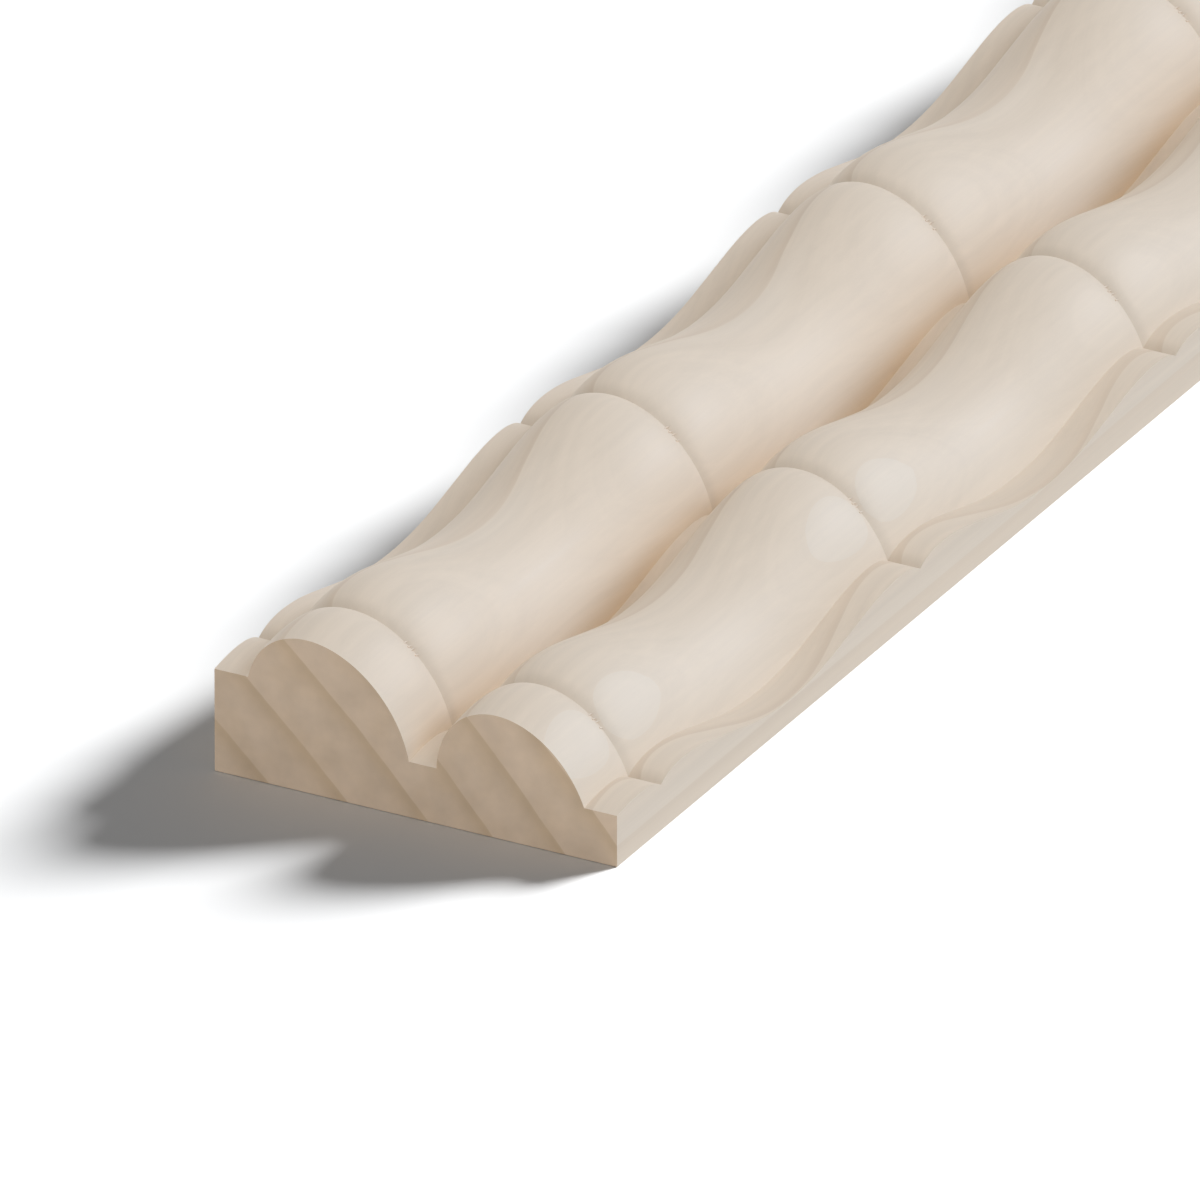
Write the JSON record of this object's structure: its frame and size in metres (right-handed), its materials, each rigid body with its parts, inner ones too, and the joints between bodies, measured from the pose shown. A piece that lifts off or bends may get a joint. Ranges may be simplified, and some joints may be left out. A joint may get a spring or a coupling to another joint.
{
  "type": "ripple moulding",
  "caption": "Flat-backed timber moulding with two rounded beads that rise and fall in even ripples along its length, crossed by sharp grooves, and square-cut ends.",
  "frame": {"origin": "middle of the flat back face, halfway along the length and the width", "axes": "+X across the width from the thick edge to the thin edge, +Y along the length, +Z out of the back face towards the beads"},
  "size_m": [0.05, 0.6, 0.0191],
  "materials": {
    "bare_timber": "bare, cut clean and unsanded"
  },
  "bodies": {
    "root": {"ripple_moulding": "bare_timber"}
  },
  "joints": []
}
